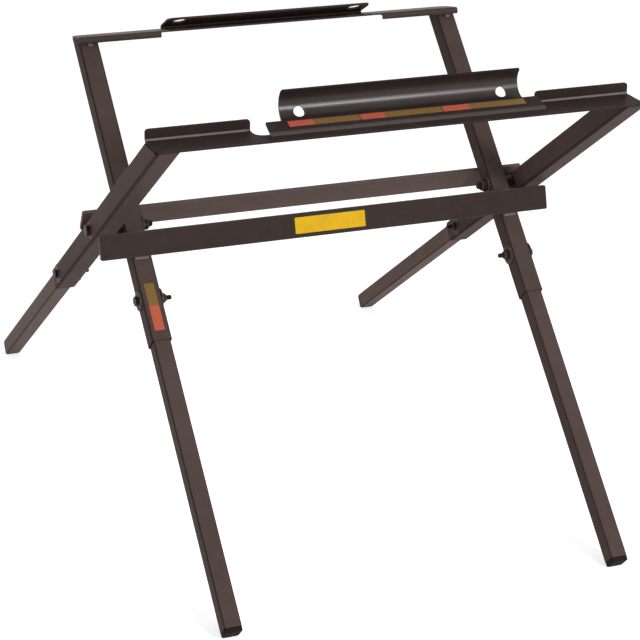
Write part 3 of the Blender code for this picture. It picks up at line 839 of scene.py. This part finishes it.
def makeRearRail():
    spec = rearRail
    bend = rearFold["bend"]
    slope = rearFold["slope"]
    sheet = rearFold["sheet"]
    stretches = foldStretches(
        (rearFold["front"], rearFold["level"] - rearFold["drop"]), math.pi / 2,
        [
            ("run", rearFold["drop"] - bend),
            ("bend", bend, -(math.pi / 2 + slope)),
            ("run", spec["depth"] - bend - spec["root"] - sheet),
            ("bend", spec["root"], math.pi + slope - spec["hookSlope"]),
            ("run", spec["hookLength"]),
        ],
    )
    bendEnd = stretches[1][1]
    plateStart = bend * (1 + math.sin(slope))
    notch = bendEnd + (spec["notch"] - plateStart) / math.cos(slope)
    edge = bendEnd + (spec["depth"] - sheet - spec["root"] - plateStart) / math.cos(slope)
    tip = stretches[-1][1]
    outline = [
        (spec["flangeInner"], rearFold["drop"] - bend, 0),
        (spec["flangeInner"], 0, spec["flangeCorner"]),
        (spec["half"], 0, spec["endCorner"]),
        (spec["half"], edge, spec["corner"]),
        (spec["hookHalf"], edge, spec["hookFillet"]),
        (spec["hookHalf"], tip, spec["hookCorner"]),
    ]
    cornerX = spec["flangeInner"] - spec["fillet"] * spec["notchSlant"]
    corners = mirrored(outline) + bothSides(cornerX, notch, spec["fillet"])
    marks = marksOn("grime", spec["grime"], stand["halfWidth"])
    marks += marksOn("gleam", spec["gleam"], stand["halfWidth"])
    marks += marksOn("grime", spec["hookPaintedShade"], spec["hookHalf"] + spec["paintedShadePast"])
    holes = bothSides(spec["holeX"], tip - spec["holeBack"], spec["holeRadius"])
    bm = foldSheet(corners, holes, stretches, sheet, marks)
    finishPiece(bm, "rearRailSheet", "inner_frame", paints["rearRail"], ("rear_rail",))


makeRearRail()
print("rails made")

# Cross bars: flat steel with rounded corners, set in the wedge between the frames
bars = {
    "height": 0.031, "depth": 0.0048, "corner": 0.0025, "edge": 0.0006, "pastLeg": 0.0015,
    "front": {"frame": "inner", "toward": -1, "drop": 0.0492, "tilt": math.radians(15.6)},
    "rear": {"frame": "outer", "toward": 1, "drop": 0.0465, "tilt": math.radians(28.5)},
}


def barPlace(name):
    spec = bars[name]
    up, out = legAxes(spec["frame"])
    foot = pivot - up * spec["drop"] + out * (stand["legSide"] / 2 + stand["fit"])
    return Matrix.Translation(foot) @ Matrix.Rotation(spec["toward"] * spec["tilt"], 4, "X")


def makeBars():
    width = 2 * (stand["halfWidth"] + bars["pastLeg"])
    for name in ("front", "rear"):
        spec = bars[name]
        bm = newMesh("wearAndHighlight")
        middle = (0, spec["toward"] * bars["depth"] / 2, bars["height"] / 2)
        roundedBlock(bm, (width, bars["depth"], bars["height"]), middle, 1, bars["corner"])
        softenEdges(bm, sharpEdges(bm), bars["edge"], 3)
        finishPiece(
            bm, f"{name}CrossBar", frames[spec["frame"]]["body"], paints[f"{name}Bar"],
            (f"{name}_bar",), barPlace(name),
        )


makeBars()
print("cross bars made")

# Bolts, nuts and washers, turned round the X axis
jointBolt = {
    "radius": 0.003, "flats": 0.0105, "head": 0.0045, "nut": 0.0062, "out": 0.0065,
    "washer": 0.0125, "washerThick": 0.0016, "pitch": 0.0010,
}
pivotBolt = {
    "radius": 0.004, "flats": 0.013, "head": 0.0055, "nut": 0.0078, "out": 0.004,
    "washer": 0.011, "washerThick": 0.0016, "pitch": 0.00125, "spacer": 0.0095,
}
turning = {
    "crown": 0.0009, "rimShare": 0.9, "thread": 0.016, "threadDepthShare": 0.6, "point": 0.0008,
    "pointStep": 0.0003, "pointCut": 0.0010, "hexShare": 0.78, "collarShare": 0.44,
    "collarSink": 0.0004, "collarRound": [(0.0006, 0), (0.0001, 0.0007), (0, 0.0013)],
    "ringEdge": 0.0003, "spacerEdge": 0.0006,
}


def turned(bm, profile, steps):
    verts = [bm.verts.new((x, radius, 0)) for x, radius in profile]
    edges = [bm.edges.new(pair) for pair in zip(verts, verts[1:])]
    if profile[0][1] and profile[-1][1]:
        edges.append(bm.edges.new((verts[-1], verts[0])))
    bmesh.ops.spin(
        bm, geom=verts + edges, cent=(0, 0, 0), axis=(1, 0, 0), angle=2 * math.pi, steps=steps,
        use_merge=True,
    )
    bmesh.ops.remove_doubles(bm, verts=bm.verts[:], dist=touching)


def hexBlock(bm, flats, low, high, bore=0.0):
    radius = flats / 2 / math.cos(math.pi / 6)
    turn = Matrix.Translation((low, 0, 0)) @ Matrix.Rotation(math.pi / 2, 4, "Y")
    rim = drawCircle(bm, radius, 6, turn, not bore)
    if bore:
        both = rim + drawCircle(bm, bore, 24, turn)
        fillBetween(bm, list({edge for vert in both for edge in vert.link_edges}), (1, 0, 0))
    faces = list({face for vert in rim for face in vert.link_faces})
    pushFaces(bm, faces, (high - low, 0, 0))
    bmesh.ops.delete(bm, geom=faces, context="FACES_ONLY")
    fillBetween(bm, [edge for edge in bm.edges if edge.is_boundary], (-1, 0, 0))
    bmesh.ops.recalc_face_normals(bm, faces=bm.faces[:])
    corners = [
        edge for edge in sharpEdges(bm)
        if all(vert.co.yz.length > turning["rimShare"] * radius for vert in edge.verts)
        and abs(edge.verts[0].co.x - edge.verts[1].co.x) < nearly
    ]
    softenEdges(bm, corners, turning["crown"], 3)


def threadProfile(start, end, radius, pitch):
    turns = max(2, int(abs(end - start) / pitch))
    step = (end - start) / turns
    root = radius - turning["threadDepthShare"] * pitch
    points = []
    for turn in range(turns):
        points += [(start + step * turn, radius), (start + step * (turn + 0.5), root)]
    return points


def makeBolt(name, body, spec, side, seat, tip, place, node):
    bm = newMesh("wearAndHighlight")
    radius = spec["radius"]
    hexBlock(bm, spec["flats"], seat, seat + side * spec["head"])
    shankEnd = tip + side * turning["thread"]
    pointStart = tip + side * turning["point"]
    profile = [(seat, 0.0), (seat, radius), (shankEnd, radius)]
    profile += threadProfile(shankEnd, pointStart, radius, spec["pitch"])
    profile += [(pointStart, radius - turning["pointStep"])]
    profile += [(tip, radius - turning["pointCut"]), (tip, 0.0)]
    turned(bm, profile, 24)
    finishPiece(bm, name, body, boltSteel, (node,), place)


# A lock nut: a hexagon, and a round collar that holds the locking ring
def makeNut(name, body, spec, side, seat, place, node):
    bm = newMesh("wearAndHighlight")
    bore = spec["radius"] + stand["fit"]
    far = seat - side * spec["nut"] * turning["hexShare"]
    end = seat - side * spec["nut"]
    hexBlock(bm, spec["flats"], seat, far, bore)
    collar = spec["flats"] * turning["collarShare"]
    collarStart = far + side * turning["collarSink"]
    profile = [(collarStart, bore), (collarStart, collar)]
    profile += [(end + side * back, collar - cut) for back, cut in turning["collarRound"]]
    turned(bm, profile + [(end, bore)], 28)
    finishPiece(bm, name, body, boltSteel, (node,), place)


def makeRing(
    name, body, outer, bore, low, high, material, place, node, soften=turning["ringEdge"]
):
    bm = newMesh("wearAndHighlight")
    turned(bm, [(low, bore), (low, outer), (high, outer), (high, bore)], 40)
    softenEdges(bm, sharpEdges(bm), soften)
    finishPiece(bm, name, body, material, (node,), place)


# A bolt through the tubes at outerX and innerX, with a washer under its head and its nut
def makeStack(titles, node, sideName, body, spec, outerX, innerX, place):
    side = sides[sideName]
    fit = stand["fit"]
    thick = spec["washerThick"]
    bolt, nut, washer = titles
    outside = side * (outerX + stand["legSide"] / 2 + fit)
    inside = side * (innerX - stand["legSide"] / 2 - fit)
    nutSeat = inside - side * (thick + fit)
    makeBolt(
        f"{bolt}_{sideName}", body, spec, side, outside + side * (thick + fit),
        nutSeat - side * (spec["nut"] + spec["out"]), place, f"{node}_bolt_{sideName}",
    )
    makeNut(f"{nut}_{sideName}", body, spec, side, nutSeat, place, f"{node}_nut_{sideName}")
    washers = (("Out", "outside", outside, side), ("In", "inside", inside, -side))
    for end, where, low, way in washers:
        makeRing(
            f"{washer}{end}_{sideName}", body, spec["washer"], spec["radius"] + fit,
            low, low + way * thick, washerSteel, place, f"{node}_washer_{where}_{sideName}",
        )


def makeJointHardware():
    for name, part in frames.items():
        place = legPlace(part["lean"]) @ Matrix.Translation((0, 0, -legs[name]["joint"]))
        titles = (f"{name}JointBolt", f"{name}JointNut", f"{name}JointWasher")
        for sideName in sides:
            makeStack(
                titles, f"{name}_joint", sideName, part["body"], jointBolt, part["x"], part["x"],
                place,
            )


def makePivotHardware():
    place = legPlace(stand["outerLean"])
    half = stand["legSide"] / 2 + stand["fit"]
    titles = ("pivotBoltTurned", "pivotLockNut", "pivotWasher")
    for sideName, side in sides.items():
        makeStack(
            titles, "pivot", sideName, "outer_frame", pivotBolt, stand["outerLegX"],
            stand["innerLegX"], place,
        )
        makeRing(
            f"pivotSleeve_{sideName}", "outer_frame", pivotBolt["spacer"],
            pivotBolt["radius"] + stand["fit"], side * (stand["outerLegX"] - half),
            side * (stand["innerLegX"] + half), boltSteel, place, f"pivot_spacer_{sideName}",
            turning["spacerEdge"],
        )


makeJointHardware()
makePivotHardware()
print("bolts made")

# Weld beads: a round rod drawn out along its seam, swelling and shrinking in ripples
bead = {
    "radius": 0.0019, "ripple": 0.0011, "stepsPerRipple": 3, "swell": 0.13, "squash": 0.8,
    "endShare": 0.35, "shoulder": 2.6, "wander": 0.7, "wanderRate": 0.37,
}
welds = {
    "inset": 0.0015,
    "frontBarLow": {"at": (0, -0.0010, -0.0016), "ends": (0.009, 0.008), "radius": 0.0028},
    "frontBarHigh": (0, 0.0014, 0.0036),
    "rearBarLow": (0, 0.0030, -0.0004),
    "frontRail": {"radius": 0.0015, "under": 0.0012, "fromEdge": 0.0012, "proud": 0.0004,
                  "behind": 0.0006},
    "rearRail": {"radius": 0.0016, "under": 0.0010, "proud": 0.0006},
    "tack": {"ends": (0.002, 0.004), "radius": 0.0031, "under": 0.0033, "proud": 0.0010},
    "stitch": {"radius": 0.0015, "ends": (0.014, 0.014), "up": 0.0009,
               "at": (-0.135, -0.045, 0.045, 0.135)},
}


# A bead along X through a seam, with its ends measured from a middle x
def weldBead(name, body, x, seam, ends, radius, skin):
    start = Vector((x - ends[0], seam.y, seam.z))
    run = Vector((x + ends[1], seam.y, seam.z)) - start
    steps = max(8, int(run.length / bead["ripple"] * bead["stepsPerRipple"]))
    bm = bmesh.new()
    ring = drawCircle(bm, radius, 10, cap=True)
    size = bead["endShare"]
    bmesh.ops.scale(bm, vec=(size, size, 1), verts=ring)
    loop = list({edge for vert in ring for edge in vert.link_edges})
    for step in range(1, steps + 1):
        share = step / steps
        fromEnd = max(0.0, min(share, 1 - share))
        shoulder = min(1.0, bead["endShare"] + bead["shoulder"] * math.sqrt(fromEnd))
        wander = bead["wander"] * math.sin(step * bead["wanderRate"])
        wave = math.sin(2 * math.pi * step / bead["stepsPerRipple"] + wander)
        wanted = shoulder * (1 + bead["swell"] * wave)
        grown = bmesh.ops.extrude_edge_only(bm, edges=loop)["geom"]
        verts = [item for item in grown if isinstance(item, bmesh.types.BMVert)]
        loop = [item for item in grown if isinstance(item, bmesh.types.BMEdge)]
        bmesh.ops.translate(bm, vec=(0, 0, run.length / steps), verts=verts)
        bmesh.ops.scale(bm, vec=(wanted / size, wanted / size, 1), verts=verts)
        size = wanted
    bmesh.ops.contextual_create(bm, geom=loop)
    bmesh.ops.scale(bm, vec=(1, bead["squash"], 1), verts=bm.verts[:])
    place = Matrix.Translation(start) @ run.to_track_quat("Z", "Y").to_matrix().to_4x4()
    finishPiece(bm, name, body, skin, place=place, angle=shading["beadAngle"])


# A seam across a leg: name, frame, a point on it, ends from the leg's middle, radius, paint
def barSeams(across):
    front = barPlace("front")
    low = welds["frontBarLow"]
    under = front @ Vector(low["at"])
    over = front @ Vector(welds["frontBarHigh"])
    behind = barPlace("rear") @ Vector(welds["rearBarLow"])
    return [
        # The weld under the front bar carries a painted glint
        ("frontBarWeldLow", "inner", under, low["ends"], low["radius"], glintWeldPaint),
        ("frontBarWeldHigh", "inner", over, across, bead["radius"], weldPaint),
        ("rearBarWeldLow", "outer", behind, across, bead["radius"], weldPaint),
    ]


def frontRailSeams(across):
    spec = welds["frontRail"]
    lean = stand["outerLean"]
    level = frontFold["level"] - frontFold["sheet"] - spec["under"]
    faceGap = stand["legSide"] / 2 / math.cos(lean)
    leg = pivot.y - (level - pivot.z) * math.tan(lean)
    front = max(leg - faceGap - spec["proud"], frontFold["front"] + spec["fromEdge"])
    back = leg + faceGap + spec["behind"]
    return [
        (f"frontRailWeld{end}", "outer", Vector((0, y, level)), across, spec["radius"], weldPaint)
        for end, y in (("Front", front), ("Back", back))
    ]


def rearRailSeams(across):
    spec = welds["rearRail"]
    cutAt, facing = railCut("inner")
    along, normal = legAxes("inner")
    seams = []
    for end, way in (("Front", 1), ("Back", -1)):
        base = pivot + normal * way * (stand["legSide"] / 2)
        reach = (cutAt - base).dot(facing) / along.dot(facing)
        seam = base + along * (reach - spec["under"]) + normal * way * spec["proud"]
        seams.append((f"rearRailWeld{end}", "inner", seam, across, spec["radius"], weldPaint))
    # A tack weld under the flange, carrying a painted glint
    tack = welds["tack"]
    base = pivot + normal * (stand["legSide"] / 2 + tack["proud"])
    drop = rearFold["level"] - rearFold["drop"] - tack["under"]
    seam = base + along * ((drop - base.z) / along.z)
    return seams + [("rearRailTack", "inner", seam, tack["ends"], tack["radius"], glintWeldPaint)]


def makeWelds():
    half = stand["legSide"] / 2 - welds["inset"]
    across = (half, half)
    seams = barSeams(across) + frontRailSeams(across) + rearRailSeams(across)
    for sideName, side in sides.items():
        for name, part, *spec in seams:
            x = side * frames[part]["x"]
            weldBead(f"{name}_{sideName}", frames[part]["body"], x, *spec)
    stitch = welds["stitch"]
    inside = frontFold["front"] + frontFold["sheet"] + stitch["up"]
    spec = (Vector((0, inside, frontFold["level"] + stitch["up"])), stitch["ends"])
    for index, x in enumerate(stitch["at"]):
        weldBead(f"saddleStitch_{index}", "outer_frame", x, *spec, stitch["radius"], weldPaint)


makeWelds()
print("welds made")

# Blank labels, each a thin sheet laid on its face. They carry no words
labels = {
    "lift": 0.00012, "thick": 0.00018,
    "badge": {"x": -0.002, "up": 0.0155, "ground": (0.101, 0.0262, 0.0008),
              "field": (0.094, 0.0205, 0.0010)},
    "shelf": {"share": 0.60, "width": 0.0105, "corner": 0.0005,
              "strips": [(-0.1425, -0.0575), (-0.0565, 0.043), (0.044, 0.1475)],
              "clay": [(-0.1425, -0.113), (-0.0565, -0.0275), (0.044, 0.077)]},
    "leg": {"drop": 0.1175, "size": (0.0125, 0.063, 0.0008), "clay": (-0.036, 0.0015)},
}


def labelSheet(name, body, place, width, height, corner, material):
    bm = bmesh.new()
    bmesh.ops.create_grid(bm, x_segments=1, y_segments=1, size=0.5)
    bmesh.ops.scale(bm, vec=(width, height, 1), verts=bm.verts[:])
    roundOff(bm, bm.verts[:], corner, 4, "VERTICES")
    pushFaces(bm, bm.faces[:], (0, 0, labels["thick"]))
    bmesh.ops.translate(bm, vec=(0, 0, labels["lift"]), verts=bm.verts[:])
    finishPiece(bm, name, body, material, place=place)


def makeBadge():
    spec = labels["badge"]
    place = barPlace("front") @ Matrix.Translation((spec["x"], -bars["depth"], spec["up"]))
    place = place @ Matrix.Rotation(math.pi / 2, 4, "X")
    raised = place @ Matrix.Translation((0, 0, labels["thick"]))
    ink = makeVinyl("badgeInk", "ink")
    amber = makeVinyl("badgeAmber", "amber")
    labelSheet("badgeGround", "inner_frame", place, *spec["ground"], ink)
    labelSheet("badgeField", "inner_frame", raised, *spec["field"], amber)


def makeShelfLabels():
    spec = labels["shelf"]
    stretches = saddleStretches()
    start, end = stretches[2][:2]
    middle = foldPoint(stretches, start + (end - start) * spec["share"])
    slope = Matrix.Rotation(saddle["slope"], 4, "X")
    place = Matrix.Translation((0, middle.x, middle.y)) @ slope
    strip = makeVinyl("shelfVinyl", "gold", spec["clay"])
    for index, (low, high) in enumerate(spec["strips"]):
        placed = place @ Matrix.Translation(((low + high) / 2, 0, 0))
        labelSheet(
            f"shelfLabel_{index}", "outer_frame", placed, high - low, spec["width"],
            spec["corner"], strip,
        )


def makeLegLabel():
    spec = labels["leg"]
    along, normal = legAxes("inner")
    face = Vector((-stand["innerLegX"], pivot.y, pivot.z)) + normal * stand["legSide"] / 2
    centre = face - along * spec["drop"]
    turn = Matrix.Rotation(math.pi / 2 - stand["innerLean"], 4, "X")
    low, high = ((centre + along * place).z for place in spec["clay"])
    skin = makeVinyl("legVinyl", "gold", [(low, high)], 2)
    labelSheet("legLabel", "inner_frame", Matrix.Translation(centre) @ turn, *spec["size"], skin)


makeBadge()
makeShelfLabels()
makeLegLabel()
print("blank labels made")

# Floor, lights and camera
studio = {
    "floorHalf": 14, "floorTone": gray(0.86), "floorGlow": 0.58, "fill": 0.34, "aim": (0, 0, 0.3),
    "lamps": [
        ("frontLight", (0.95, -2.9, 1.75), 0.6, 60),
        ("leftLight", (-2.7, -1.5, 1.2), 1.5, 22),
        ("topLight", (0.2, 0.6, 3.2), 2.4, 20),
        ("rightLight", (1.9, -1.9, 0.4), 0.8, 12),
    ],
}


# White to the camera, in reflections and through glass
def seenRays(g, clamp):
    camera, glossy, glass = (g.node("ShaderNodeLightPath", output=kind) for kind in (0, 3, 6))
    settings = {"operation": "ADD", "use_clamp": clamp}
    return g.node("ShaderNodeMath", settings, {0: camera + glossy, 1: glass})


def makeFloor():
    bm = bmesh.new()
    bmesh.ops.create_grid(bm, x_segments=1, y_segments=1, size=studio["floorHalf"])
    mesh = meshFrom(bm, "studioFloor")
    floor = addObject("studioFloor", mesh)
    g = Graph("paleFloor")
    strength = seenRays(g, False) * studio["floorGlow"]
    matt = g.node("ShaderNodeBsdfDiffuse", {}, {"Color": studio["floorTone"]})
    glow = g.node("ShaderNodeEmission", {}, {"Color": gray(1), "Strength": strength})
    mesh.materials.append(g.surface(g.node("ShaderNodeAddShader", {}, {0: matt, 1: glow})))


def makeWorld():
    g = Graph("studioWorld", bpy.data.worlds)
    fill = g.node("ShaderNodeBackground", {}, {"Color": gray(1), "Strength": studio["fill"]})
    white = g.node("ShaderNodeBackground", {}, {"Color": gray(1), "Strength": 1.0})
    sky = g.node("ShaderNodeMixShader", {}, {0: seenRays(g, True), 1: fill, 2: white})
    bpy.context.scene.world = g.surface(sky)


def makeLamps():
    aim = Vector(studio["aim"])
    for name, place, size, power in studio["lamps"]:
        lamp = bpy.data.lights.new(name, "AREA")
        lamp.shape = "SQUARE"
        lamp.size = size
        lamp.energy = power
        holder = addObject(name, lamp)
        holder.location = place
        holder.rotation_euler = (aim - Vector(place)).to_track_quat("-Z", "Y").to_euler()


# The camera was solved from the stand's own straight edges. Its place is from the pivot
view = {
    "place": (-0.939889, -2.386339, 0.887405), "turn": (68.355129, -0.866652, -21.262849),
    "lens": 120.185, "sensor": 36, "shift": (-0.00186, -0.03179), "farthest": 60,
}


def makeCamera():
    lens = bpy.data.cameras.new("studioCamera")
    lens.lens = view["lens"]
    lens.sensor_width = view["sensor"]
    lens.sensor_fit = "HORIZONTAL"
    lens.shift_x, lens.shift_y = view["shift"]
    lens.clip_end = view["farthest"]
    camera = addObject("studioCamera", lens)
    camera.location = Vector(view["place"]) + pivot
    camera.rotation_euler = [math.radians(angle) for angle in view["turn"]]
    bpy.context.scene.camera = camera


makeFloor()
makeWorld()
makeLamps()
makeCamera()
bpy.context.scene.view_settings.view_transform = "Standard"
print("stage, lights and camera made")

bpy.context.view_layer.update()
